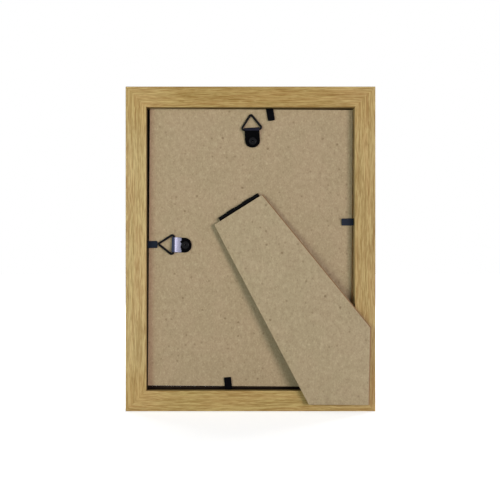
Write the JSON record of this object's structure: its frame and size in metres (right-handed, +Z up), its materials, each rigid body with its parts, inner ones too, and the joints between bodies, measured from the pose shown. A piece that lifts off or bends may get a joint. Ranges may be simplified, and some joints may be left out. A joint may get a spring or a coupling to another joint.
{
  "type": "easel back photo frame",
  "caption": "Upright oak-look photo frame seen from behind: loose fibre back board held by bendable tabs, slanted easel strut on a barrel hinge, and triangular hanging rings.",
  "frame": {"origin": "middle of the bottom edge, half way through the depth of the moulding", "axes": "+Z up along the upright sides, +Y from the picture side to the back, +X to the left as seen from behind"},
  "size_m": [0.16, 0.0218, 0.208],
  "materials": {
    "oak": "satin oak with fine straight grain along each length",
    "fibre_board": "bare greyish tan fibre board with fine dark flecks",
    "clear_glass": "clear float glass",
    "white_paper": "blank matt paper",
    "black_hanger_steel": "glossy black lacquer",
    "black_ring_wire": "glossy black lacquer on wire",
    "black_hinge_steel": "satin black lacquer",
    "black_tab_steel": "blued black spring steel",
    "bright_nail_steel": "bare steel strip"
  },
  "bodies": {
    "frame": {"rail_top": "oak", "rail_bottom": "oak", "stile_left": "oak", "stile_right": "oak", "corner_nails": "bright_nail_steel", "glass_pane": "clear_glass", "paper_insert": "white_paper", "back_board": "fibre_board", "hinge_board_leaf": "black_hinge_steel", "hinge_board_rivets": "black_hinge_steel", "hinge_pin": "black_hinge_steel", "top_hanger_rivet": "black_hanger_steel", "side_hanger_rivet": "black_hanger_steel", "flex_tab_shanks": "black_tab_steel"},
    "strut": {"easel_strut": "fibre_board", "hinge_strut_leaf": "black_hinge_steel"},
    "top_plate": {"top_hanger_plate": "black_hanger_steel"},
    "top_ring": {"top_hanger_ring": "black_ring_wire"},
    "side_plate": {"side_hanger_plate": "black_hanger_steel"},
    "side_ring": {"side_hanger_ring": "black_ring_wire"},
    "tab_top": {"flex_tab_top": "black_tab_steel"},
    "tab_right": {"flex_tab_right": "black_tab_steel"},
    "tab_bottom": {"flex_tab_bottom": "black_tab_steel"},
    "tab_left": {"flex_tab_left": "black_tab_steel"}
  },
  "joints": [
    {"name": "strut_hinge", "type": "hinge", "parent": "frame", "child": "strut", "pos_m": [0.00738, 0.00385, 0.13098], "axis": [0.8467, 0, -0.5321], "range_deg": [0, 30]},
    {"name": "top_plate_swivel", "type": "hinge", "parent": "frame", "child": "top_plate", "pos_m": [-0.00135, 0.0025, 0.1736], "axis": [0, 1, 0], "range_deg": [-20, 20]},
    {"name": "top_ring_swing", "type": "hinge", "parent": "top_plate", "child": "top_ring", "pos_m": [-0.00087, 0.00375, 0.18103], "axis": [-0.9979, 0, 0.0645], "range_deg": [0, 155]},
    {"name": "side_plate_swivel", "type": "hinge", "parent": "frame", "child": "side_plate", "pos_m": [0.04215, 0.0025, 0.1064], "axis": [0, 1, 0], "range_deg": [-20, 20]},
    {"name": "side_ring_swing", "type": "hinge", "parent": "side_plate", "child": "side_ring", "pos_m": [0.04959, 0.00375, 0.10675], "axis": [-0.0471, 0, 0.9989], "range_deg": [0, 155]},
    {"name": "tab_top_bend", "type": "hinge", "parent": "frame", "child": "tab_top", "pos_m": [-0.0124, 0.00302, 0.19425], "axis": [0.9877, 0, -0.1564], "range_deg": [0, 80]},
    {"name": "tab_right_bend", "type": "hinge", "parent": "frame", "child": "tab_right", "pos_m": [-0.06625, 0.00302, 0.1214], "axis": [0, 0, 1], "range_deg": [0, 80]},
    {"name": "tab_bottom_bend", "type": "hinge", "parent": "frame", "child": "tab_bottom", "pos_m": [0.0141, 0.00302, 0.01375], "axis": [-0.9945, 0, 0.1045], "range_deg": [0, 80]},
    {"name": "tab_left_bend", "type": "hinge", "parent": "frame", "child": "tab_left", "pos_m": [0.06625, 0.00302, 0.1069], "axis": [0, 0, -1], "range_deg": [0, 80]}
  ]
}
